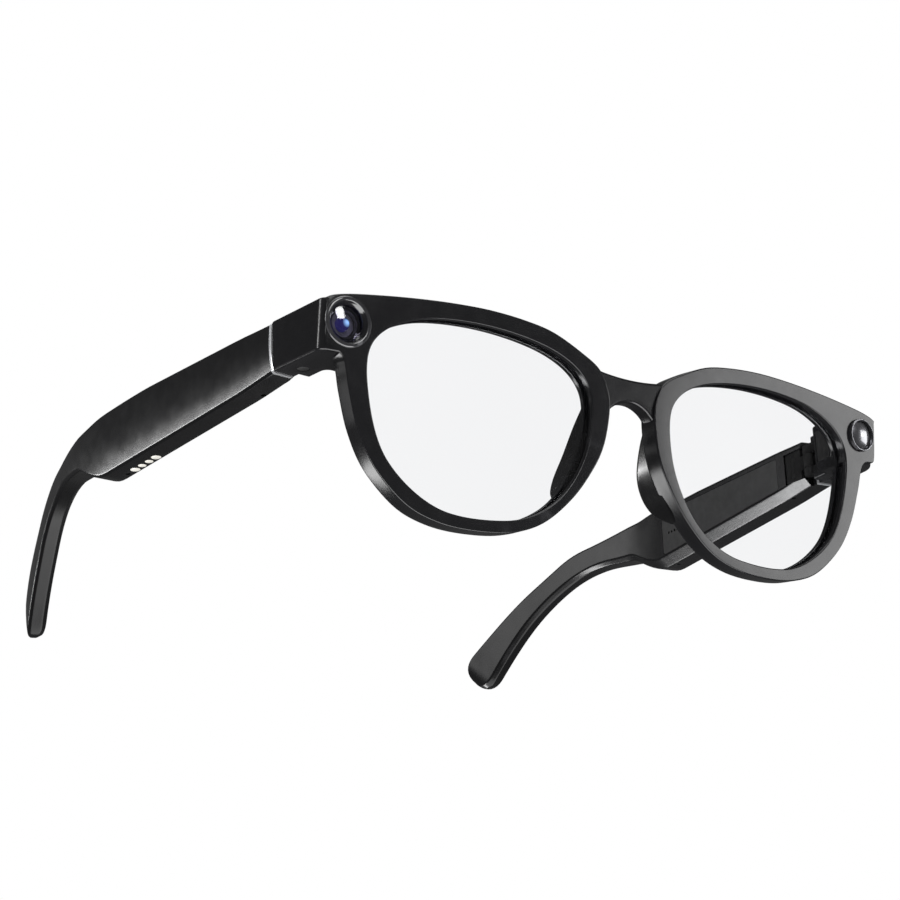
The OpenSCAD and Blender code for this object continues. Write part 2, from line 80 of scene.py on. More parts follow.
# Front: rims, bridge arch and lenses
RIM_DEPTH = 4.6
BRIDGE_Y, BRIDGE_REACH = 0.8, 9.2
ARCH_R, ARCH_TOP, ARCH_LOW = 7.4, 5.2, 1.2
BRIDGE_TOP, BRIDGE_RISE, RISE_AT = 10.1, 0.85, 9.5
LENS_Y, LENS_THICK, GROOVE, GROOVE_LIP = 1.2, 1.7, 0.7, 0.12
LENS_MIDDLE, LENS_DOME, LENS_PLAY = (36, -3), 0.5, 0.02
EDGE_FRONT, EDGE_BACK = 0.3, 0.8
# End pieces: outer corner, block behind it with its pocket, and the wedge off its lower edge
CORNER_R = {RIGHT: 2, LEFT: 5}
CORNER_Y, CORNER_IN, TOP_Z = 2.7, 0.28, 14
PLATE_PROUD = 0.02
ENDPIECE_BACK, ENDPIECE_IN = -0.75, 63.3
BLOCK_IN, BLOCK_BACK, POCKET_FRONT = 11.6, -7.3, -13.6
WEDGE_LEG, WEDGE_S = 1.6, (-15, -6)
BROW_WIDTH, BROW_Y = 1.3, 3.35
# Camera and light modules
MODULE_X, MODULE_Z = 66.6, 9.65
BEZEL_R, LIGHT_R, BARREL_R = 4.5, 3.6, 2.5

# Temples: housing with the corner radii of its section, inner cover and seam ring
THICK = 7.8
HEIGHT_FRONT, HEIGHT_REAR, HOUSING_LEN = 10.2, 14.2, 58.5
CHAMFER, WALL, COVER_THICK, LEDGE = 2.2, 1.3, 1.2, 0.6
SECTION_R = (0.8, 0.8, 0.9, 0.6, 0.6)
SEAT_START, SEAT_END, SEAT_TOP, SEAT_LOW = 10.5, 57.5, 1.4, 2.4
RING_THICK, RING_PROUD = 0.65, 0.03
# How far the outer face falls back at its upper and lower edge and at the ear tip, and the top face
CROWN_TOP, CROWN_LOW, CROWN_TIP, TOP_CROWN = 0.2, 0.6, 0.15, 0.12
# How much the lower and upper edge swell past the straight outline of the seam
BELLY, SWELL = 0.4, 0.25
# Ear tip: its round end, its waist in half sizes, its edges, and how far its lower edge is let down
TIP_END, TIP_ROUND = 126, 4
WAIST_S, WAIST_TALL, WAIST_WIDE, WAIST_FLARE = 94, 2.95, 2.25, 0.0025
TIP_CHAMFER, TIP_CORNER, TIP_DROP = 1.1, 0.9, 0.15
# Long curves towards the ear: where each starts, its factor and its power
TOP_FALL = (42, 0.0168, 1.45)
SPINE_FALL, SPINE_Z = (80, 0.0123, 2), -5.4
BEND_IN = (HOUSING_LEN, 0.012, 1.75)
# Stretches of the temple over which something changes: start and length
EDGE_SWELL, NECK, TOP_JOIN = (0, 12), (HOUSING_LEN + 1, 12.5), (84, 14)
SLIM, SOFTEN = (60, 38), (HOUSING_LEN - 2, 22)
LEAN_IN, LEAN_OUT = (46, 16), (84, 20)
SHIFT_IN, SHIFT_OUT = (66, 30), (106, 18)
# How much higher the inner side of the top is there, and how far the middle moves in and back out
LEAN, SHIFT_IN_BY, SHIFT_OUT_BY = 1.3, 0.9, 0.7
# Speaker slots in the inner cover
SLOT_S, SLOT_STEP, SLOT_R, SLOT_Z = 51, 1.2, 0.35, -7
# Button on top of each temple
BUTTON_S, BUTTON_X, BUTTON_LEN, BUTTON_W, BUTTON_PROUD = 19, -3.9, 8, 2.6, 0.35
# Charging contacts: distance and radius of each, and where the row lies
CONTACTS = ((45.5, 1.1), (48.1, 0.92), (50.7, 0.92), (53.3, 1.1))
CONTACT_X = -4.4
# Holes under every housing: distance, x, radius and depth
LOW_HOLES = ((56, -4.4, 0.5, 5), (8.7, -4.9, 0.5, 2.5))
# Clearance around modules and buttons
CLEAR = 0.05

# Outlines of one half of the front: x outward from the bridge, z up
LENS_KNOTS = (
    (61.5, -3), (60.8, 7), (51.3, 13), (35, 14.6), (19.2, 12.3), (11, 6.4),
    (10.7, -3.8), (14.5, -13), (21, -19.6), (30.5, -23.1), (45.5, -22.7), (57, -15),
)
RIM_KNOTS = (
    (67, 15.1), (59, 16.3), (51, 17.2), (43, 17.8), (35, 18), (27, 17.5), (20, 16.3),
    (13, 13.4), (8.4, 10.6), (6.2, 6.5), (5.8, 2.3), (7, -4.5), (9.6, -10), (14.5, -16.6),
    (21.3, -22.4), (29, -25.3), (38, -26.1), (46, -25.4), (53, -22.8), (59.8, -16.8),
    (63.6, -10.2), (65.8, -3.1), (66.6, 0.6), (67.2, 2.6), (68.4, 3.75), (70.4, 4),
)
# The rim's outline goes on inside the end piece
TUCK_KNOTS = ((71.2, 5.5), (71.2, 12.5), (70.9, 13.9))
BROW_KNOTS = (
    (0, 8.8), (5, 9.2), (12, 11.6), (20, 14.5), (28, 15.9), (36, 16.4), (44, 16),
    (52, 15.2), (60, 13.4), (63, 12),
)
# Nose wing from its upper to its lower end: its foot in the rim, its ridge and its radius
PAD_FOOT = (
    (8.5, 3.6, 4.6), (8.7, 3.6, 0.5), (9.9, 3.6, -6), (11.9, 3.6, -11), (14.1, 3.6, -15),
    (15.6, 3.6, -17),
)
PAD_RIDGE = (
    (8.5, 4.9, 4.2), (8.9, 6.5, -0.5), (10, 8.1, -6.6), (11.8, 8.4, -11.2), (13.7, 7, -14.8),
    (15.3, 4.9, -16.8),
)
PAD_R = (0.45, 1.15, 1.45, 1.45, 1.3, 0.4)
PAD_SLANT = (0.4, 0, -0.9)


# ---------- curves ----------
def mix(a, b, t):
    return a + (b - a) * t


def smooth(t):
    u = min(max(t, 0), 1)
    return u * u * (3 - 2 * u)


def ease(s, start, length):
    """Smooth step from 0 at start to 1 at the end of the stretch."""
    return smooth((s - start) / length)


def past(s, start, factor, power):
    """A curve that leaves 0 at start and grows with the power of the distance."""
    return factor * max(s - start, 0) ** power


def spline(p0, p1, p2, p3, t):
    """Point between p1 and p2 on the smooth curve through all four."""
    return 0.5 * (
        2 * p1
        + (p2 - p0) * t
        + (2 * p0 - 5 * p1 + 4 * p2 - p3) * t * t
        + (3 * p1 - p0 - 3 * p2 + p3) * t * t * t
    )


def closed_curve(knots, steps):
    p = [Vector(k) for k in knots]
    m = len(p)
    return [
        spline(p[i - 1], p[i], p[(i + 1) % m], p[(i + 2) % m], k / steps)
        for i in range(m)
        for k in range(steps)
    ]


def open_curve(knots, steps):
    p = [Vector(k) for k in knots]
    m = len(p) - 1
    points = [
        spline(p[max(i - 1, 0)], p[i], p[i + 1], p[min(i + 2, m)], k / steps)
        for i in range(m)
        for k in range(steps)
    ]
    return points + [p[m]]


def grown(loop, by):
    """The closed outline moved outward by its own normals; the outline runs anticlockwise."""
    m = len(loop)
    out = []
    for i, p in enumerate(loop):
        along = (loop[(i + 1) % m] - loop[i - 1]).normalized()
        out.append(p + by * Vector((along.y, -along.x)))
    return out


def rounded(corners, radii, arc=5, straight=4):
    """Closed outline with a round at each corner, always with the same number of points."""
    count = len(corners)
    arcs = []
    for i, (corner, radius) in enumerate(zip(corners, radii)):
        c = Vector(corner)
        back = (Vector(corners[i - 1]) - c).normalized()
        ahead = (Vector(corners[(i + 1) % count]) - c).normalized()
        half = back.angle(ahead) / 2
        reach = radius / tan(half)
        middle = c + (back + ahead).normalized() * radius / sin(half)
        a, b = c + back * reach - middle, c + ahead * reach - middle
        arcs.append([middle + a.lerp(b, k / arc).normalized() * radius for k in range(arc + 1)])
    points = []
    for i in range(count):
        points += arcs[i]
        start, end = arcs[i][-1], arcs[(i + 1) % count][0]
        points += [start.lerp(end, k / straight) for k in range(1, straight)]
    return points


# ---------- meshes ----------
def loft(bm, rings, closed=True):
    """Skin over rings with equal numbers of points, closed with a face at both ends."""
    loops = [[bm.verts.new(p) for p in ring] for ring in rings]
    n = len(loops[0])
    for a, b in zip(loops, loops[1:]):
        for k in range(n):
            bm.faces.new((a[k], a[(k + 1) % n], b[(k + 1) % n], b[k]))
    if closed:
        bm.faces.new(list(reversed(loops[0])))
        bm.faces.new(loops[-1])
    return loops


def lofted(rings):
    bm = bmesh.new()
    loft(bm, rings)
    return bm


def lathe(profile, steps):
    """Turned around Y from (radius, y) points; a radius of 0 at an end closes it with a point."""
    bm = bmesh.new()
    rings = []
    for r, y in profile:
        if r == 0:
            rings.append([bm.verts.new((0, y, 0))])
        else:
            turn = [2 * pi * k / steps for k in range(steps)]
            rings.append([bm.verts.new((r * cos(a), y, r * sin(a))) for a in turn])
    pairs = list(zip(rings, rings[1:]))
    if len(rings[0]) > 1 and len(rings[-1]) > 1:
        pairs.append((rings[-1], rings[0]))
    for a, b in pairs:
        for k in range(steps):
            j = (k + 1) % steps
            corners = [a[k % len(a)], a[j % len(a)], b[j % len(b)], b[k % len(b)]]
            bm.faces.new(list(dict.fromkeys(corners)))
    return bm


def block(low, high):
    bm = bmesh.new()
    low, high = Vector(low), Vector(high)
    bmesh.ops.create_cube(bm, size=1)
    bmesh.ops.scale(bm, vec=high - low, verts=bm.verts)
    bmesh.ops.translate(bm, vec=(low + high) / 2, verts=bm.verts)
    return bm


def rod(start, end, radius, steps=32, edge=0.0):
    """A cylinder between two points, with its end edges bevelled."""
    start, end = Vector(start), Vector(end)
    axis = end - start
    length = axis.length
    turn = axis.to_track_quat("Y", "Z").to_matrix().to_4x4()
    e = min(edge, length / 3, radius / 2)
    if e:
        profile = [(0, 0), (radius - e, 0), (radius - 0.3 * e, 0.3 * e), (radius, e)]
        profile += [(radius, length - e), (radius - 0.3 * e, length - 0.3 * e)]
        profile += [(radius - e, length), (0, length)]
    else:
        profile = [(0, 0), (radius, 0), (radius, length), (0, length)]
    bm = lathe(profile, steps)
    bm.transform(Matrix.Translation(start) @ turn)
    return bm


def pill(length, width, z0, z1, edge=0.0):
    """A rod with a stadium outline and a rounded top, upright at the button's place."""
    r, half_turn, quarter_turn = width / 2, 12, 4
    outline = []
    for end, start in ((1, 0), (-1, pi)):
        for k in range(half_turn + 1):
            a = pi * k / half_turn + start
            outline.append(Vector((r * cos(a), end * (length / 2 - r) + r * sin(a))))
    levels = [(0, z0)]
    if edge:
        for k in range(quarter_turn + 1):
            a = pi / 2 * k / quarter_turn
            levels.append((edge * (1 - cos(a)), z1 - edge + edge * sin(a)))
    else:
        levels.append((0, z1))
    rings = []
    for inset, z in levels:
        ring = grown(outline, -inset) if inset else outline
        rings.append([Vector((BUTTON_X + p.x, BUTTON_S + p.y, z)) for p in ring])
    return lofted(rings)


def mesh_of(bm, name):
    bmesh.ops.recalc_face_normals(bm, faces=bm.faces)
    mesh = bpy.data.meshes.new(name)
    bm.to_mesh(mesh)
    bm.free()
    return mesh


def solid(bm, matrix=None, name="tool"):
    """An object in the front's millimetres, to be joined or cut."""
    if matrix is not None:
        bm.transform(matrix)
    obj = bpy.data.objects.new(name, mesh_of(bm, name))
    bpy.context.scene.collection.objects.link(obj)
    return obj


def bake(obj):
    """Takes what the modifiers make into the object's own mesh."""
    bpy.context.view_layer.update()
    graph = bpy.context.evaluated_depsgraph_get()
    mesh = bpy.data.meshes.new_from_object(obj.evaluated_get(graph))
    obj.modifiers.clear()
    old = obj.data
    obj.data = mesh
    bpy.data.meshes.remove(old)


def combine(obj, others, operation):
    """Joins or cuts obj with each of the others, which are used up."""
    for other in others:
        mod = obj.modifiers.new("step", "BOOLEAN")
        mod.operation = operation
        mod.solver = "MANIFOLD"
        mod.object = other
        bake(obj)
        used = other.data
        bpy.data.objects.remove(other)
        bpy.data.meshes.remove(used)
    return obj


def sided(side):
    return Matrix.Diagonal((side, 1, 1, 1))


def on_half(side):
    return sided(side) @ HALF


def on_temple(side):
    return sided(side) @ TEMPLE


def even_normals(obj):
    """Large faces keep their own normal, so only the rounded edges catch the light."""
    mod = obj.modifiers.new("normals", "WEIGHTED_NORMAL")
    mod.keep_sharp = True
    mod.weight = 60
    bake(obj)
    obj.data.name = obj.name


def dress(obj, material, angle):
    """One material on every face, and smooth shading with sharp edges from the angle on."""
    mesh = obj.data
    mesh.materials.clear()
    mesh.materials.append(material)
    mesh.polygons.foreach_set("material_index", [0] * len(mesh.polygons))
    mesh.polygons.foreach_set("use_smooth", [True] * len(mesh.polygons))
    mesh.set_sharp_from_angle(angle=radians(angle))


def done(obj, name, body, material, nodes, angle=32):
    """Takes a solid in the front's millimetres into the row frame and dresses it as a piece."""
    weld = 1e-4
    bm = bmesh.new()
    bm.from_mesh(obj.data)
    bmesh.ops.remove_doubles(bm, verts=bm.verts, dist=weld)
    bmesh.ops.dissolve_degenerate(bm, dist=weld, edges=bm.edges)
    bm.transform(TO_METRES @ FRONT)
    bmesh.ops.recalc_face_normals(bm, faces=bm.faces)
    bm.to_mesh(obj.data)
    bm.free()
    obj.name = name
    obj.data.name = name
    dress(obj, material, angle)
    even_normals(obj)
    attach(obj, body)
    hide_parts(*nodes)
    return obj


# ---------- materials ----------
# Noise scales: colour drift, uneven gloss and broken wear of a finish; cloudiness and film of glass
DRIFT, SMEAR, SCRAPE, CLOUD, FILM = 90, 260, 700, 14, 180
# Range of the edges' pointiness over which wear sets in
WORN_FROM, WORN_TO = 0.51, 0.6


def node(tree, kind, **values):
    made = tree.nodes.new(kind)
    for key, value in values.items():
        if key in made.inputs:
            made.inputs[key].default_value = value
        else:
            setattr(made, key, value)
    return made


def ramp(tree, source, low, high, out_low, out_high):
    made = node(tree, "ShaderNodeMapRange")
    made.inputs["From Min"].default_value = low
    made.inputs["From Max"].default_value = high
    made.inputs["To Min"].default_value = out_low
    made.inputs["To Max"].default_value = out_high
    tree.links.new(source, made.inputs["Value"])
    return made.outputs["Result"]


def blend_colour(tree, factor, first, second):
    made = node(tree, "ShaderNodeMix", data_type="RGBA")
    tree.links.new(factor, made.inputs[0])
    for index, value in ((6, first), (7, second)):
        if hasattr(value, "is_linked"):
            tree.links.new(value, made.inputs[index])
        else:
            made.inputs[index].default_value = value
    return made.outputs[2]


def noise(tree, place, scale, detail, rough=0.5):
    made = node(tree, "ShaderNodeTexNoise", Scale=scale, Detail=detail, Roughness=rough)
    tree.links.new(place, made.inputs["Vector"])
    return made.outputs["Fac"]


def rgba(value, factor=1.0):
    return tuple(min(c * factor, 1) for c in value) + (1,)


def finish_of(
    name, colour, rough, bump, metal=0.0, grain=2500, vary=0.15, rough_vary=0.06,
    wear=0.0, wear_colour=(0.3, 0.3, 0.3), coat=0.0, coat_rough=0.1, spec=0.5, brushed=0.0,
):
    """A procedural surface: colour drift, uneven roughness, fine grain, and lighter worn edges."""
    made = bpy.data.materials.new(name)
    made.use_nodes = True
    tree = made.node_tree
    shader = tree.nodes["Principled BSDF"]
    place = node(tree, "ShaderNodeTexCoord").outputs["Object"]
    drift = noise(tree, place, DRIFT, 4)
    tone = blend_colour(tree, drift, rgba(colour, 1 - vary), rgba(colour, 1 + vary))
    if wear:
        edge = node(tree, "ShaderNodeNewGeometry").outputs["Pointiness"]
        worn = ramp(tree, edge, WORN_FROM, WORN_TO, 0, wear)
        broken = node(tree, "ShaderNodeMath", operation="MULTIPLY")
        tree.links.new(worn, broken.inputs[0])
        tree.links.new(noise(tree, place, SCRAPE, 4), broken.inputs[1])
        tone = blend_colour(tree, broken.outputs[0], tone, rgba(wear_colour))
    tree.links.new(tone, shader.inputs["Base Color"])
    shader.inputs["Metallic"].default_value = metal
    shader.inputs["Specular IOR Level"].default_value = spec
    shader.inputs["Coat Weight"].default_value = coat
    shader.inputs["Coat Roughness"].default_value = coat_rough
    smear = noise(tree, place, SMEAR, 5, 0.6)
    tree.links.new(
        ramp(tree, smear, 0.3, 0.7, rough - rough_vary, rough + rough_vary),
        shader.inputs["Roughness"],
    )
    if bump:
        stretch = node(tree, "ShaderNodeMapping")
        stretch.inputs["Scale"].default_value = (1, 1 - brushed, 1)
        tree.links.new(place, stretch.inputs["Vector"])
        relief = node(tree, "ShaderNodeBump", Strength=0.6, Distance=bump * MM)
        tree.links.new(noise(tree, stretch.outputs[0], grain, 3, 0.6), relief.inputs["Height"])
        tree.links.new(relief.outputs[0], shader.inputs["Normal"])
    return made


def clear_of(name, tint, gloss_rough, straight, grazing):
    """Clear plastic or glass: it lets the view through and reflects by its angle."""
    made = bpy.data.materials.new(name)
    made.use_nodes = True
    tree = made.node_tree
    tree.nodes.remove(tree.nodes["Principled BSDF"])
    out = tree.nodes["Material Output"]
    place = node(tree, "ShaderNodeTexCoord").outputs["Object"]
    through = node(tree, "ShaderNodeBsdfTransparent")
    drift = noise(tree, place, CLOUD, 2)
    tone = blend_colour(tree, drift, rgba(tint, 0.985), rgba(tint, 1.01))
    tree.links.new(tone, through.inputs["Color"])
    gloss = node(tree, "ShaderNodeBsdfGlossy", Roughness=gloss_rough)
    tree.links.new(
        ramp(tree, noise(tree, place, FILM, 4), 0.3, 0.7, gloss_rough * 0.6, gloss_rough * 1.6),
        gloss.inputs["Roughness"],
    )
    facing = node(tree, "ShaderNodeLayerWeight", Blend=0.5).outputs["Facing"]
    steep = node(tree, "ShaderNodeMath", operation="POWER")
    steep.inputs[1].default_value = 4
    tree.links.new(facing, steep.inputs[0])
    level = node(tree, "ShaderNodeMath", operation="MULTIPLY_ADD")
    level.inputs[1].default_value = grazing - straight
    level.inputs[2].default_value = straight
    tree.links.new(steep.outputs[0], level.inputs[0])
    both = node(tree, "ShaderNodeMixShader")
    tree.links.new(level.outputs[0], both.inputs[0])
    tree.links.new(through.outputs[0], both.inputs[1])
    tree.links.new(gloss.outputs[0], both.inputs[2])
    tree.links.new(both.outputs[0], out.inputs["Surface"])
    return made


black = finish_of(
    "black_satin", (0.0045, 0.0045, 0.005), 0.23, grain=3200, bump=0.008, vary=0.1,
    rough_vary=0.03, wear=0.25, wear_colour=(0.06, 0.06, 0.065), spec=0.4,
)
black_front = finish_of(
    "black_gloss", (0.004, 0.004, 0.0045), 0.2, grain=3600, bump=0.005, vary=0.1,
    rough_vary=0.03, wear=0.25, wear_colour=(0.06, 0.06, 0.065), spec=0.35,
)
black_matte = finish_of("black_matte", (0.008, 0.008, 0.0085), 0.45, bump=0.015, wear=0.2)
pad_rubber = finish_of("pad_rubber", (0.006, 0.006, 0.0065), 0.25, bump=0.006, spec=0.5)
silver = finish_of(
    "silver", (0.9, 0.91, 0.93), 0.3, metal=0.6, grain=5200, bump=0.004, vary=0.05,
    rough_vary=0.05, brushed=0.9, wear=0.3, wear_colour=(0.95, 0.95, 0.96),
)
steel = finish_of(
    "steel", (0.5, 0.51, 0.53), 0.28, metal=1, grain=4200, bump=0.008, rough_vary=0.08,
    wear=0.5, wear_colour=(0.75, 0.75, 0.77),
)
gold = finish_of(
    "contact_gold", (0.95, 0.91, 0.82), 0.3, metal=0.35, grain=5000, bump=0.004, rough_vary=0.06,
    wear=0.3, wear_colour=(0.95, 0.92, 0.85),
)
bezel_black = finish_of(
    "bezel_black", (0.006, 0.006, 0.007), 0.14, bump=0.002, coat=0.4, coat_rough=0.05,
    wear=0.6, wear_colour=(0.2, 0.2, 0.21),
)
ring_grey = finish_of(
    "ring_grey", (0.2, 0.2, 0.215), 0.2, metal=0.9, bump=0.003, coat=0.5, coat_rough=0.06,
    wear=0.5, wear_colour=(0.3, 0.3, 0.32),
)
# Painted light: the camera barrel is lightened from black to a mid grey so that the dome looks hazy and
# lit inside.
barrel_black = finish_of("barrel_black", (0.14, 0.14, 0.15), 0.3, bump=0.004)
sensor_glass = finish_of("sensor_glass", (0.03, 0.05, 0.07), 0.1, bump=0.0, coat=0.8)
board_green = finish_of("board_green", (0.01, 0.07, 0.03), 0.35, grain=1500, bump=0.02, coat=0.4)
flex_amber = finish_of("flex_amber", (0.3, 0.12, 0.03), 0.3, grain=900, bump=0.01, coat=0.3)
led_yellow = finish_of("led_yellow", (0.75, 0.68, 0.35), 0.3, bump=0.004, coat=0.5)
foil = finish_of("battery_foil", (0.45, 0.5, 0.56), 0.32, metal=0.8, grain=700, bump=0.06)
shield_tin = finish_of("shield", (0.6, 0.61, 0.62), 0.3, metal=1, bump=0.01, wear=0.4)
mesh_grey = finish_of("mesh", (0.85, 0.85, 0.86), 0.38, metal=0.3, bump=0.01, wear=0.4)
speaker_black = finish_of("speaker_black", (0.04, 0.04, 0.045), 0.45, bump=0.02)
magnet_grey = finish_of("magnet", (0.4, 0.4, 0.42), 0.25, metal=1, bump=0.005)
switch_grey = finish_of("switch", (0.35, 0.35, 0.36), 0.35, metal=0.6, bump=0.01)
lens_clear = clear_of("clear_lens", (0.955, 0.957, 0.962), 0.03, 0.004, 0.2)
window_glass = clear_of("window_glass", (0.78, 0.77, 0.84), 0.015, 0.07, 0.6)


def paint_light_spot(made, side, spot, reach, inner, outer, glow=0.0):
    """Paints light into a finish's colour: it goes from inner at a spot to outer with the distance, in
    the half's own millimetres; with glow the painted colour also glows as if lit.
    """
    tree = made.node_tree
    shader = tree.nodes["Principled BSDF"]
    place = node(tree, "ShaderNodeTexCoord").outputs["Object"]
    away = node(tree, "ShaderNodeVectorMath", operation="DISTANCE")
    away.inputs[1].default_value = TO_METRES @ FRONT @ on_half(side) @ Vector(spot)
    tree.links.new(place, away.inputs[0])
    near = ramp(tree, away.outputs["Value"], reach[0] * MM, reach[1] * MM, 0, 1)
    tone = blend_colour(tree, near, rgba(inner), rgba(outer))
    tree.links.new(tone, shader.inputs["Base Color"])
    # The glow makes the painted highlight shine, though the part is no lamp.
    if glow:
        tree.links.new(tone, shader.inputs["Emission Color"])
        shader.inputs["Emission Strength"].default_value = glow
    return made


def optic_with_painted_glow_of(name, inner, outer, glow):
    """Coated lens element with a painted highlight: a bright blue spot near the middle that fades to
    dark violet at the edge, glowing though the element is no lamp.
    """
    made = finish_of(name, inner, 0.06, bump=0.0, coat=1.0, coat_rough=0.02)
    # Middle of the painted highlight, where the main camera's view meets the element.
    spot = (MODULE_X - 0.3, 0.95, MODULE_Z + 0.15)
    return paint_light_spot(made, RIGHT, spot, (0.1, 0.95), inner, outer, glow)


# Camera front element: painted blue highlight that glows.
optic_glass = optic_with_painted_glow_of("optic_glass", (0.35, 0.65, 1.0), (0.012, 0.01, 0.07), glow=1.6)
light_glass = finish_of(
    "light_glass", (0.12, 0.12, 0.13), 0.24, metal=0.8, bump=0.002, coat=1.0, coat_rough=0.04
)
# Painted highlight: a white spot in the middle of the light's cap, fading to the cap's dark grey.
paint_light_spot(
    light_glass, LEFT, (MODULE_X, -0.7, MODULE_Z), (0.2, 0.5), (0.95, 0.95, 1.0), (0.12, 0.12, 0.13)
)

SLOT_LOOK = {
    "black_gloss": black_front,
    "black_matte": black_matte,
    "clear_lens": lens_clear,
    "pad_rubber": pad_rubber,
    "silver": silver,
    "hinge_steel": steel,
    "optic_glass": optic_glass,
    "barrel_black": barrel_black,
    "sensor": sensor_glass,
    "board": board_green,
    "flex": flex_amber,
    "led": led_yellow,
    "diffuser": light_glass,
    "battery_foil": foil,
    "shield": shield_tin,
    "mesh": mesh_grey,
    "speaker_black": speaker_black,
    "contact_gold": gold,
    "magnet": magnet_grey,
    "switch": switch_grey,
}


# ---------- front ----------
def edge_profile(edge):
    """Quarter round from the flat face to the wall: (inset, depth) pairs."""
    steps = 4
    return [
        (edge * (1 - sin(pi / 2 * k / steps)), edge * (1 - cos(pi / 2 * k / steps)))
        for k in range(steps + 1)
    ]


def plate():
    """Half of the front: the rim between its outer wall and the lens opening with its groove."""
    bm = bmesh.new()
    outer = closed_curve(RIM_KNOTS + TUCK_KNOTS, 8)
    inner = closed_curve(LENS_KNOTS, 14)
    front, back = edge_profile(EDGE_FRONT), edge_profile(EDGE_BACK)
    outer_wall = [(-inset, depth) for inset, depth in front]
    outer_wall += [(0, RIM_DEPTH / 2)]
    outer_wall += [(-inset, RIM_DEPTH - depth) for inset, depth in reversed(back)]
    lip = GROOVE_LIP
    groove_back = LENS_Y + LENS_THICK
    inner_wall = [(inset, depth) for inset, depth in front]
    inner_wall += [(0, LENS_Y - 2 * lip), (lip, LENS_Y - lip), (GROOVE, LENS_Y - lip)]
    inner_wall += [(GROOVE, groove_back + lip), (lip, groove_back + lip), (0, groove_back + 2 * lip)]
    inner_wall += [(inset, RIM_DEPTH - depth) for inset, depth in reversed(back)]
    walls = []
    for loop, profile in ((outer, outer_wall), (inner, inner_wall)):
        rings = []
        for off, y in profile:
            rings.append([Vector((p.x, y, p.y)) for p in grown(loop, off)])
        walls.append(loft(bm, rings, closed=False))
    for end in (0, -1):
        edges = []
        for loops in walls:
            ring = loops[end]
            for k, v in enumerate(ring):
                edges.append(bm.edges.get((v, ring[(k + 1) % len(ring)])))
        bmesh.ops.triangle_fill(bm, use_beauty=True, use_dissolve=False, edges=edges)
    return bm


def bridge():
    """The arch between the rims, set back from their front faces."""
    rings = []
    steps, back_y = 28, RIM_DEPTH - 0.1
    for i in range(steps + 1):
        x = BRIDGE_REACH * (2 * i / steps - 1)
        top = BRIDGE_TOP + BRIDGE_RISE * (abs(x) / RISE_AT) ** 2
        low = max(sqrt(max(ARCH_R**2 - x * x, 0)) - ARCH_R + ARCH_TOP, ARCH_LOW)
        corners = [(BRIDGE_Y, low), (back_y, low), (back_y, top), (BRIDGE_Y, top)]
        ring = rounded(corners, [0.7, 0.9, 0.8, 0.6])
        rings.append([Vector((x, p.x, p.y)) for p in ring])
    return lofted(rings)


def temple_axis(index):
    return TEMPLE.to_3x3().col[index]


def height_at(x, y, depth):
    """Height in the front's frame of the temple's level at this depth below its top, at x and y."""
    up = temple_axis(2)
    here = Vector((x - SEAM[0], y - SEAM[1], 0))
    return SEAM[2] + (-depth - up.dot(here)) / up.z


def side_x(y, z):
    """Where the end piece's outer face is at y and z in the front's frame."""
    out = temple_axis(0)
    return SEAM[0] - (out.y * (y - SEAM[1]) + out.z * (z - SEAM[2])) / out.x


def end_piece(side):
    """The block from the front corner back to the hinge seam, wider inward behind the module."""
    levels = []
    for depth in (0, HEIGHT_FRONT):

        def flat(x, s):
            p = TEMPLE @ Vector((x, s, -depth))
            return (p.x, p.y)

        def ahead(x, y):
            p = HALF @ Vector((x, y, 0))
            return (p.x, p.y)

        corner_x = side_x(CORNER_Y, TOP_Z - depth) - CORNER_IN
        corners = [
            ahead(ENDPIECE_IN, PLATE_PROUD), (corner_x, corner_x * tan(radians(WRAP)) + PLATE_PROUD),
            flat(0, ENDPIECE_BACK), flat(-THICK, ENDPIECE_BACK), flat(-THICK, BLOCK_BACK),
            flat(-BLOCK_IN, BLOCK_BACK), flat(-BLOCK_IN, POCKET_FRONT), ahead(ENDPIECE_IN, 3),
        ]
        radii = [0, CORNER_R[side], 0, 0, 1.2, 1.2, 0, 0]
        plan = rounded(corners, radii, arc=8, straight=1)
        levels.append([Vector((p.x, p.y, height_at(p.x, p.y, depth))) for p in plan])
    bm = lofted(levels)
    bmesh.ops.remove_doubles(bm, verts=bm.verts, dist=0.02)
    bmesh.ops.recalc_face_normals(bm, faces=bm.faces)
    sharp = [e for e in bm.edges if len(e.link_faces) == 2 and e.calc_face_angle() > 0.5]
    bmesh.ops.bevel(bm, geom=sharp, offset=0.5, segments=4, profile=0.5, affect="EDGES")
    return bm


def brow_channel():
    """Channel along the brow for the flat cable, open towards the wearer."""
    half_w, y1 = BROW_WIDTH / 2, RIM_DEPTH + 1.4
    line = open_curve(BROW_KNOTS, 8)
    m = len(line) - 1
    rings = []
    for i, p in enumerate(line):
        along = (line[min(i + 1, m)] - line[max(i - 1, 0)]).normalized()
        across = Vector((-along.y, along.x))
        corners = [(-half_w, BROW_Y), (half_w, BROW_Y), (half_w, y1), (-half_w, y1)]
        ring = rounded(corners, [0.02] * 4, arc=2, straight=1)
        rings.append([Vector((p.x + across.x * q.x, q.y, p.y + across.y * q.x)) for q in ring])
    return lofted(rings)


def module_rod(r, y0, y1):
    return rod((MODULE_X, y0, MODULE_Z), (MODULE_X, y1, MODULE_Z), r, 64)


def corner_wedge():
    """What is taken off the lower inner edge of the block behind the module."""
    x, z, leg = -BLOCK_IN - 1, -HEIGHT_FRONT - 1, WEDGE_LEG + 2
    corners = [(x, z), (x + leg, z), (x, z + leg)]
    return lofted([[Vector((x, s, z)) for x, z in corners] for s in WEDGE_S])


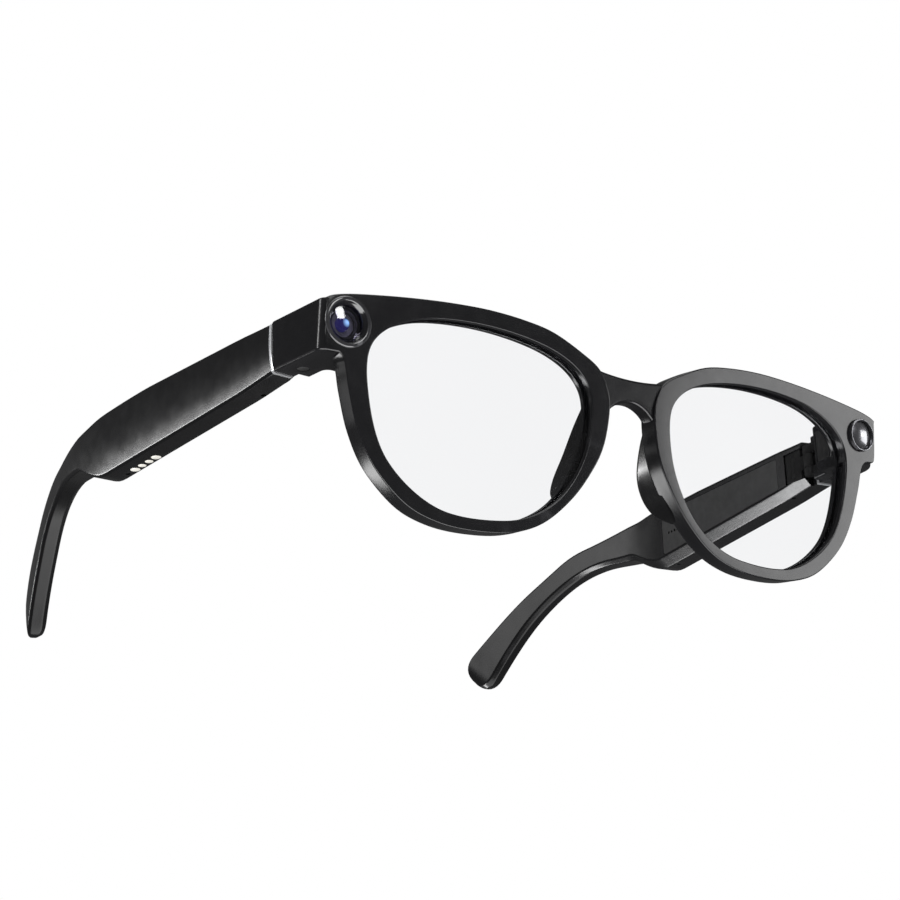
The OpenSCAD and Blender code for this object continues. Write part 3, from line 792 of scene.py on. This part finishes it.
def front_cuts(side):
    """Everything that is taken off one half of the front."""
    half, temple = on_half(side), on_temple(side)
    bore = (BEZEL_R if side == RIGHT else LIGHT_R) + CLEAR
    pocket = block((-10.7, POCKET_FRONT, -9.2), (-1.3, -8.2, -0.9))
    pocket_mouth = block((-12.6, -13, -8.6), (-10.6, -8.8, -1.5))
    hinge_relief = block((-12.8, -2.5, -20), (-5, 1, 1))
    leaf_seat = block((-8.8, -6.7, -8.7), (-6, 1, -1.5))
    wire_passage = block((-4.4, -9.3, -6.5), (-2.4, 1, -4))
    mic_port = rod((-4.1, -5.1, -11.2), (-4.1, -5.1, -9.7), 1.2)
    return [
        solid(module_rod(bore, -3, 2.4), half),
        solid(module_rod(BARREL_R + 0.1, 2, 8), half),
        solid(pocket, temple),
        solid(pocket_mouth, temple),
        solid(hinge_relief, temple),
        solid(leaf_seat, temple),
        solid(wire_passage, temple),
        solid(mic_port, temple),
        solid(brow_channel(), half),
        solid(corner_wedge(), temple),
    ]


def front_shell():
    whole = solid(bridge(), name="front_shell")
    for side in (RIGHT, LEFT):
        half = solid(plate(), on_half(side))
        combine(half, [solid(end_piece(side), sided(side))], "UNION")
        combine(half, front_cuts(side), "DIFFERENCE")
        combine(whole, [half], "UNION")
    return done(whole, "front_shell", "front", black_front, ["front_frame"])


front_shell()


def lens(side):
    """Clear lens with a gentle curve, held in the rim's groove."""
    loop = grown(closed_curve(LENS_KNOTS, 8), GROOVE - 0.1)
    centre = Vector(LENS_MIDDLE)
    rings = []
    edge = 0.12
    levels = [1, 0.985, 0.9, 0.78, 0.64, 0.48, 0.3, 0.12]
    for back in (0, 1):
        for f in levels if back else reversed(levels):
            y = LENS_Y + LENS_PLAY - LENS_DOME * (1 - f * f) + back * (LENS_THICK - 2 * LENS_PLAY)
            if f == 1:
                y += -edge if back else edge
            rings.append([Vector((c.x, y, c.y)) for c in (centre + (p - centre) * f for p in loop)])
    obj = solid(lofted(rings), on_half(side))
    name = "lens_" + SIDE_NAME[side]
    return done(obj, name + "_clear", "front", lens_clear, [name], angle=60)


def nose_pad(side):
    """Long low wing along the nose side of the rim, smooth into the rim's back."""
    radii = [(r, 0) for r in PAD_R]
    steps, ring_steps = 7, 20
    rings = []
    for low, top, size in zip(*(open_curve(line, steps) for line in (PAD_FOOT, PAD_RIDGE, radii))):
        rise = (top - low).normalized()
        across = rise.cross(Vector(PAD_SLANT)).normalized()
        ring = []
        for k in range(ring_steps):
            turn = 2 * pi * k / ring_steps
            base = top if cos(turn) > 0 else low
            ring.append(base + rise * size.x * cos(turn) + across * size.x * sin(turn))
        rings.append(ring)
    obj = solid(lofted(rings), on_half(side))
    name = "nose_pad_" + SIDE_NAME[side]
    return done(obj, name + "_wing", "front", pad_rubber, [name], angle=70)


for side in (RIGHT, LEFT):
    lens(side)
    nose_pad(side)


# ---------- camera and light ----------
def turned(profile):
    """Turned around the axis of the module."""
    bm = lathe(profile, 72)
    bm.transform(Matrix.Translation((MODULE_X, 0, MODULE_Z)))
    return bm


def sphere_line(radius, front, ball_r, steps):
    """Profile of a spherical face from its middle out to the radius."""
    rows = [radius * k / steps for k in range(steps + 1)]
    return [(r, front + ball_r - sqrt(ball_r**2 - r * r)) for r in rows]


def camera():
    """Bezel with its collar, hollow glass dome, stepped barrel and bulging front element."""
    half = on_half(RIGHT)
    bezel = [
        (3.36, 1.0), (3.4, 0.6), (3.5, 0.42), (3.75, 0.15), (3.98, -0.12), (4.08, -0.27),
        (4.2, -0.34), (4.4, -0.36), (4.62, -0.32), (4.82, -0.22), (4.93, -0.1), (4.96, 0),
        (4.5, 0), (4.5, 2.4), (2.6, 2.4), (2.6, 1.62), (3.36, 1.62),
    ]
    done(solid(turned(bezel), half), "camera_bezel_ring", "front", bezel_black,
         ["camera_bezel"], angle=50)
    hollow = sphere_line(3, 0.25, 7, 8)
    window = sphere_line(3.34, -0.28, 7.5, 10) + [(3.34, 1.55), (3, 1.55)] + hollow[::-1]
    done(solid(turned(window), half), "camera_window_dome", "front", window_glass,
         ["camera_window"], angle=50)
    barrel = [
        (1.4, 2.6), (1.5, 2.5), (1.72, 2.5), (1.78, 2.43), (1.9, 2.43), (1.96, 2.5), (2.2, 2.5),
        (2.26, 2.43), (2.4, 2.43), (2.5, 2.55), (2.5, 6.55), (2.45, 6.6), (2.0, 6.6),
        (2.0, 2.95), (1.4, 2.95),
    ]
    done(solid(turned(barrel), half), "camera_barrel_tube", "front", barrel_black,
         ["camera_barrel"])
    ball_r, ball_y, steps = 1.3, 2.1, 10
    turns = [pi / 2 * k / steps for k in range(steps + 1)]
    front_lens = [(ball_r * sin(a), ball_y - ball_r * cos(a)) for a in turns]
    front_lens += [(ball_r, 2.98), (1.95, 2.98), (1.95, 3.75), (0, 3.75)]
    done(solid(turned(front_lens), half), "camera_lens_front_glass", "front", optic_glass,
         ["camera_lens_front"], angle=50)


def light():
    """Cup with a rounded rim, and the domed cap in it."""
    half = on_half(LEFT)
    ring = [
        (3.25, -0.3), (3.26, -0.6), (3.32, -0.75), (3.4, -0.8), (3.5, -0.79), (3.57, -0.72),
        (3.6, -0.6), (3.6, 2.35), (2.0, 2.35), (2.0, 1.42), (3.25, 1.42),
    ]
    done(solid(turned(ring), half), "light_ring_cup", "front", ring_grey,
         ["light_ring"], angle=50)
    cap = sphere_line(3.22, -0.7, 8, 10) + [(3.22, 1.33), (3.17, 1.38), (0, 1.38)]
    done(solid(turned(cap), half), "light_lens_dome", "front", light_glass,
         ["light_lens"], angle=50)


camera()
light()


# ---------- temples ----------
def low_edge(s):
    """The lower edge drops away in a straight line behind the seam."""
    return -mix(HEIGHT_FRONT, HEIGHT_REAR, s / HOUSING_LEN) - BELLY * ease(s, *EDGE_SWELL)


def top_edge(s):
    """The top runs level, then falls in a long curve towards the ear."""
    return SWELL * ease(s, *EDGE_SWELL) - past(s, *TOP_FALL)


def spine(s):
    """Height of the middle of the ear tip."""
    return SPINE_Z - past(s, *SPINE_FALL)


def tip_tall(s):
    """Half of the ear tip's height, smallest at its waist."""
    return WAIST_TALL + WAIST_FLARE * (s - WAIST_S) ** 2


def edges_at(s):
    """Upper and lower edge of the temple at distance s from the seam."""
    low = low_edge(s)
    if s > HOUSING_LEN:
        low = mix(low_edge(HOUSING_LEN), spine(s) - tip_tall(s) - TIP_DROP, ease(s, *NECK))
    return mix(top_edge(s), spine(s) + tip_tall(s), ease(s, *TOP_JOIN)), low


def path(s):
    """Middle of the section at distance s from the seam."""
    x = -THICK / 2 - past(s, *BEND_IN)
    x += SHIFT_OUT_BY * ease(s, *SHIFT_OUT) - SHIFT_IN_BY * ease(s, *SHIFT_IN)
    return Vector((x, s, sum(edges_at(s)) / 2))


def half_sizes(s):
    """Half of the width and height at distance s, closing in a round end."""
    into_end = max(s - TIP_END + TIP_ROUND, 0) / TIP_ROUND
    end = max(1 - into_end**2.5, 0.0) ** 0.4
    top, low = edges_at(s)
    wide = mix(THICK / 2 - 0.02, WAIST_WIDE, ease(s, *SLIM))
    return wide * end, (top - low) / 2 * end


def section(s, inset=0.0):
    """Ring of points around the temple at s: square corners with one chamfer, softer at the ear tip."""
    wide, tall = half_sizes(s)
    wide, tall = wide - inset, tall - inset
    soft = ease(s, *SOFTEN)
    size = min(wide, tall)
    ch = min(mix(CHAMFER, TIP_CHAMFER, soft), 0.8 * size)
    radii = [min(mix(r, TIP_CORNER, soft), 0.4 * size) for r in SECTION_R]
    corners = [(wide, tall), (-wide, tall), (-wide, -tall + ch), (-wide + ch, -tall), (wide, -tall)]
    ring = rounded(corners, radii, arc=6, straight=6)
    centre = path(s)
    along = Vector((0, 1, 0))
    if s > HOUSING_LEN:
        along = (path(s + 0.1) - path(s - 0.1)).normalized()
        along = Vector((0, 1, 0)).lerp(along, ease(s, *NECK)).normalized()
    w = Vector((along.y, -along.x, 0)).normalized()
    h = w.cross(along)
    lean = LEAN * ease(s, *LEAN_IN) * (1 - ease(s, *LEAN_OUT))
    out = []
    for p in ring:
        across, upper = p.x / wide, p.y > 0
        crown = mix(CROWN_TOP if upper else CROWN_LOW, CROWN_TIP, soft)
        bend = crown * (p.y / tall) ** 2 * max(across, 0)
        drop = TOP_CROWN * (1 - soft) * across**2 - lean * (0.5 - 0.5 * across) if upper else 0
        out.append(centre + w * (p.x - bend) + h * (p.y - drop))
    return out


def temple_stations():
    """Distance from the seam and inset of every section."""
    coarse, fine, turns = 3, 1.5, 9
    front = [(0, 0.3), (0.04, 0.16), (0.12, 0.06), (0.3, 0)]
    housing = [(coarse * k, 0) for k in range(1, int(HOUSING_LEN / coarse))]
    count = int((TIP_END - TIP_ROUND - HOUSING_LEN) / fine) + 1
    ear = [(HOUSING_LEN + fine * k, 0) for k in range(count)]
    end = [(TIP_END - TIP_ROUND * (1 - sin(pi / 2 * k / turns)), 0) for k in range(1, turns)]
    return front + housing + ear + end


def low_face(s):
    """Placement on the sloping lower face, with +Z into the housing."""
    slope = (HEIGHT_REAR - HEIGHT_FRONT) / HOUSING_LEN
    return Matrix.Translation((0, s, low_edge(s))) @ Matrix.Rotation(-slope, 4, "X")


def side_panel(x0, x1, trim, edge=0.0):
    """The cover's outline between two depths, in the temple's frame."""
    corners = [
        (SEAT_START + trim, -SEAT_TOP - trim), (SEAT_END - trim, -SEAT_TOP - trim),
        (SEAT_END - trim, low_edge(SEAT_END) + SEAT_LOW + trim),
        (SEAT_START + trim, low_edge(SEAT_START) + SEAT_LOW + trim),
    ]
    ring = rounded(corners, [0.8] * 4, arc=5, straight=3)
    ring.reverse()
    levels = [(0, x1), (0, x0 + edge)]
    if edge:
        levels += [(edge * 0.3, x0 + edge * 0.3), (edge, x0)]
    else:
        levels.append((0, x0))
    return lofted([[Vector((x, p.x, p.y)) for p in grown(ring, -i)] for i, x in levels])


def temple_body(side):
    """Housing and ear tip in one, with the cuts for everything that goes in."""
    place = on_temple(side)
    obj = solid(lofted([section(s, inset) for s, inset in temple_stations()]), place)
    cover_seat = side_panel(-THICK - 1, -THICK + COVER_THICK, 0)
    cavity = side_panel(-THICK + 0.5, -WALL, LEDGE)
    hinge_relief = block((-THICK - 1, -1, -20), (-5, 1.5, 1))
    leaf_seat = block((-THICK - 1, -1, -8.7), (-6, 7.7, -1.5))
    wire_passage = block((-4.4, -1, -6.5), (-2.4, 11.5, -4))
    button_hole = pill(BUTTON_LEN + 2 * CLEAR, BUTTON_W + 2 * CLEAR, -3, 1)
    tools = [cover_seat, cavity, hinge_relief, leaf_seat, wire_passage, button_hole]
    holes = list(LOW_HOLES)
    if side == RIGHT:
        holes += [(s, CONTACT_X, r + 0.04, 5) for s, r in CONTACTS]
    for s, x, r, deep in holes:
        tool = rod((x, 0, -1), (x, 0, deep - 1), r, 28)
        tool.transform(low_face(s))
        tools.append(tool)
    combine(obj, [solid(t, place) for t in tools], "DIFFERENCE")
    tag = SIDE_NAME[side]
    return done(obj, "temple_" + tag + "_housing", "temple_" + tag, black,
                ["temple_shell_" + tag, "ear_tip_" + tag])


def seam_ring(side):
    """Thin metal frame around the seam, open towards the hinge."""
    place = on_temple(side)
    ring = [Vector((p.x, p.z)) for p in section(0)]
    round_edge = [(0.16, 0), (0.04, 0.05), (0, 0.16)]
    levels = [(inset, -depth) for inset, depth in round_edge]
    levels += [(inset, depth - RING_THICK) for inset, depth in reversed(round_edge)]
    ring.reverse()
    rings = []
    for inset, s in levels:
        rings.append([Vector((p.x, s, p.y)) for p in grown(ring, RING_PROUD - inset)])
    obj = solid(lofted(rings), place)
    hinge_side = block((-9, -1, -20), (-5, 1, 1))
    opening = block((-4.1, -1, -9.3), (-0.95, 1, -0.95))
    combine(obj, [solid(hinge_side, place), solid(opening, place)], "DIFFERENCE")
    tag = SIDE_NAME[side]
    return done(obj, "seam_ring_" + tag + "_band", "temple_" + tag, silver,
                ["seam_ring_" + tag])


def cover(side):
    """Inner cover with a row of seven speaker slots."""
    place = on_temple(side)
    obj = solid(side_panel(-THICK, -THICK + COVER_THICK - 0.03, 0.06, 0.14), place)
    slots = []
    for i in range(-3, 4):
        s = SLOT_S + i * SLOT_STEP
        hole = rod((-THICK - 1, s, SLOT_Z), (-THICK + 2, s, SLOT_Z), SLOT_R, 20)
        slots.append(solid(hole, place))
    combine(obj, slots, "DIFFERENCE")
    tag = SIDE_NAME[side]
    return done(obj, "temple_" + tag + "_cover", "temple_" + tag, black_matte,
                ["temple_cover_" + tag])


def button(side):
    """Key that stands proud of the top, on a wider foot that keeps it in."""
    body = "capture_button" if side == RIGHT else "power_button"
    place = on_temple(side)
    key = solid(pill(BUTTON_LEN, BUTTON_W, -2.01, BUTTON_PROUD, 0.3), place)
    foot = solid(pill(BUTTON_LEN + 1, BUTTON_W + 1, -2.7, -2.005), place)
    obj = combine(key, [foot], "UNION")
    return done(obj, body + "_key", body, black_matte, [body])


for side in (RIGHT, LEFT):
    temple_body(side)
    seam_ring(side)
    cover(side)
    button(side)


def contacts():
    """Row of round pads in the sloping lower face."""
    pads = []
    for s, r in CONTACTS:
        pad = rod((CONTACT_X, 0, 0.02), (CONTACT_X, 0, 3), r, 32, 0.18)
        pad.transform(low_face(s))
        pads.append(solid(pad, on_temple(RIGHT)))
    obj = combine(pads[0], pads[1:], "UNION")
    return done(obj, "charging_contact_pads", "temple_right", gold,
                ["charging_contacts"])


contacts()


# ---------- parts kept from the frame, with softened edges ----------
def refined(name, look):
    """The frame's own part with its edges bevelled."""
    edge, angle = 0.07, 35
    source = frame["nodes"][name]
    bm = bmesh.new()
    bm.from_mesh(source.data)
    bmesh.ops.remove_doubles(bm, verts=bm.verts, dist=1e-7)
    bmesh.ops.dissolve_limit(
        bm, angle_limit=radians(1), verts=bm.verts, edges=bm.edges, delimit=set()
    )
    sharp = [e for e in bm.edges if len(e.link_faces) == 2 and e.calc_face_angle() > radians(angle)]
    bmesh.ops.bevel(
        bm, geom=sharp, offset=edge * MM, segments=2, profile=0.5, affect="EDGES", clamp_overlap=True
    )
    obj = solid(bm, name=name + "_part")
    dress(obj, look, 40)
    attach(obj, source["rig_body"])
    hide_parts(name)
    return obj


# The record's materials name no nodes, so SLOT_OF stays empty and every kept part takes black_matte.
# Each node's own slot is in the record's subparts.
SLOT_OF = {n: m["slot"] for m in frame["record"]["materials"] for n in m.get("nodes", [])}
for name, part in frame["nodes"].items():
    if not part.hide_render:
        slot = SLOT_OF.get(name, "black_matte")
        refined(name, SLOT_LOOK[slot])


# ---------- stage, lights and camera ----------
def stage_floor():
    half_width, level = 6, -0.3
    mesh = bpy.data.meshes.new("floor")
    bm = bmesh.new()
    bmesh.ops.create_grid(bm, x_segments=1, y_segments=1, size=half_width)
    bm.to_mesh(mesh)
    bm.free()
    obj = bpy.data.objects.new("floor", mesh)
    obj.location = (0, 0, level)
    bpy.context.scene.collection.objects.link(obj)
    look = finish_of("floor_pale", (0.9, 0.9, 0.9), 0.7, grain=20, bump=0.0, vary=0.02)
    mesh.materials.append(look)
    obj.visible_glossy = False


def softbox(name, place, aim, size, watts, only=()):
    """Soft rectangular light from a place towards a point; with only, it shines on those pieces."""
    data = bpy.data.lights.new(name, "AREA")
    data.shape = "RECTANGLE"
    data.size, data.size_y = size
    data.energy = watts
    obj = bpy.data.objects.new(name, data)
    bpy.context.scene.collection.objects.link(obj)
    obj.location = place
    obj.rotation_mode = "QUATERNION"
    obj.rotation_quaternion = (Vector(aim) - Vector(place)).to_track_quat("-Z", "Y")
    obj.visible_camera = False
    if only:
        group = bpy.data.collections.new(name + "_targets")
        for target in only:
            group.objects.link(bpy.data.objects[target])
        obj.light_linking.receiver_collection = group
    return obj


def surroundings():
    """White studio: full for the camera, weaker as diffuse light and faint in reflections."""
    in_mirrors, as_light, as_seen = 0.09, 0.75, 1.0
    world = bpy.data.worlds.new("studio")
    bpy.context.scene.world = world
    world.use_nodes = True
    tree = world.node_tree
    tree.nodes.clear()
    out = node(tree, "ShaderNodeOutputWorld")
    rays = node(tree, "ShaderNodeLightPath")
    shown = node(tree, "ShaderNodeBackground", Color=(1, 1, 1, 1), Strength=in_mirrors)
    for ray, strength in (("Is Diffuse Ray", as_light), ("Is Camera Ray", as_seen)):
        other = node(tree, "ShaderNodeBackground", Color=(1, 1, 1, 1), Strength=strength)
        both = node(tree, "ShaderNodeMixShader")
        tree.links.new(rays.outputs[ray], both.inputs[0])
        tree.links.new(shown.outputs[0], both.inputs[1])
        tree.links.new(other.outputs[0], both.inputs[2])
        shown = both
    tree.links.new(shown.outputs[0], out.inputs["Surface"])


def main_camera():
    place, focal_length, sensor = (-0.26095, -0.38163, -0.09827), 83.8, 36
    azimuth, elevation, roll = radians(-34.985), radians(-16.595), radians(-0.647)
    back = Vector((sin(azimuth) * cos(elevation), -cos(azimuth) * cos(elevation), sin(elevation)))
    right = (-back).cross(Vector((0, 0, 1))).normalized()
    up = right.cross(-back)
    across = right * cos(roll) + up * sin(roll)
    over = up * cos(roll) - right * sin(roll)
    data = bpy.data.cameras.new("camera")
    data.lens = focal_length
    data.sensor_width = sensor
    data.clip_start, data.clip_end = 0.01, 50
    obj = bpy.data.objects.new("camera", data)
    bpy.context.scene.collection.objects.link(obj)
    turn = Matrix((across, over, back)).transposed().to_4x4()
    obj.matrix_world = Matrix.Translation(place) @ turn
    bpy.context.scene.camera = obj


stage_floor()
surroundings()
main_camera()
PADS = ["nose_pad_right_wing", "nose_pad_left_wing"]
TEMPLES = ["temple_right_housing", "temple_left_housing"]
LIGHT_MODULE = ["light_ring_cup", "light_lens_dome"]
FRONT_AND_BEZEL = ["front_shell", "camera_bezel_ring"]
softbox(
    "left_behind", (-0.68, 0.63, 0.04), (-0.075, -0.025, 0.03), (0.5, 0.13), 6,
    only=["temple_right_housing", "seam_ring_right_band"] + PADS,
)
softbox(
    "left_soft", (-0.68, 0.63, 0.05), (-0.03, -0.07, 0.03), (0.5, 0.2), 0.25, only=["front_shell"]
)
softbox(
    "side_strip", (-0.95, 0.02, 0.4), (-0.073, -0.07, 0.035), (0.14, 0.6), 4, only=FRONT_AND_BEZEL
)
softbox(
    "right_front", (1.0, -0.7, 0.2), (0.03, -0.07, 0.02), (0.6, 0.5), 5,
    only=["front_shell", "temple_left_cover"] + LIGHT_MODULE + PADS + TEMPLES,
)
softbox(
    "top_front", (0.1, -0.88, 0.48), (-0.06, -0.07, 0.03), (0.3, 0.36), 3,
    only=FRONT_AND_BEZEL + ["light_lens_dome", "camera_lens_front_glass"],
)
softbox(
    "dome_wedge", (-0.02, -0.84, 0.62), (-0.066, -0.075, 0.035), (0.36, 0.66), 11,
    only=["camera_window_dome", "camera_barrel_tube"],
)
softbox(
    "contacts_low", (-0.1, 0.05, -0.22), (-0.075, -0.01, 0.02), (0.2, 0.2), 0.6,
    only=["charging_contact_pads", "front_mic_mesh_right_part"],
)
softbox(
    "edge_low", (-0.05, -0.22, -0.25), (-0.02, -0.07, 0.02), (0.6, 0.2), 2.5, only=FRONT_AND_BEZEL
)
softbox(
    "edge_behind", (-0.24, 0.33, -0.2), (-0.072, -0.06, 0.03), (0.25, 0.1), 0.6,
    only=["front_shell"],
)
softbox(
    "inner_soft", (-0.62, 0.48, 0.24), (0.07, -0.02, 0.03), (0.5, 0.4), 1.3,
    only=["temple_left_housing", "temple_left_cover"],
)
softbox(
    "tip_low", (0.034, 0.023, -0.215), (-0.065, 0.06, 0.01), (0.25, 0.25), 0.4, only=TEMPLES
)
softbox(
    "far_low", (-0.045, 0.21, -0.265), (0.07, -0.03, 0.02), (0.25, 0.06), 0.8,
    only=["temple_left_housing"],
)
softbox("top", (0.1, -0.1, 1.6), (0, 0, 0), (1.2, 1.2), 14)
bpy.context.scene.view_settings.view_transform = "Standard"
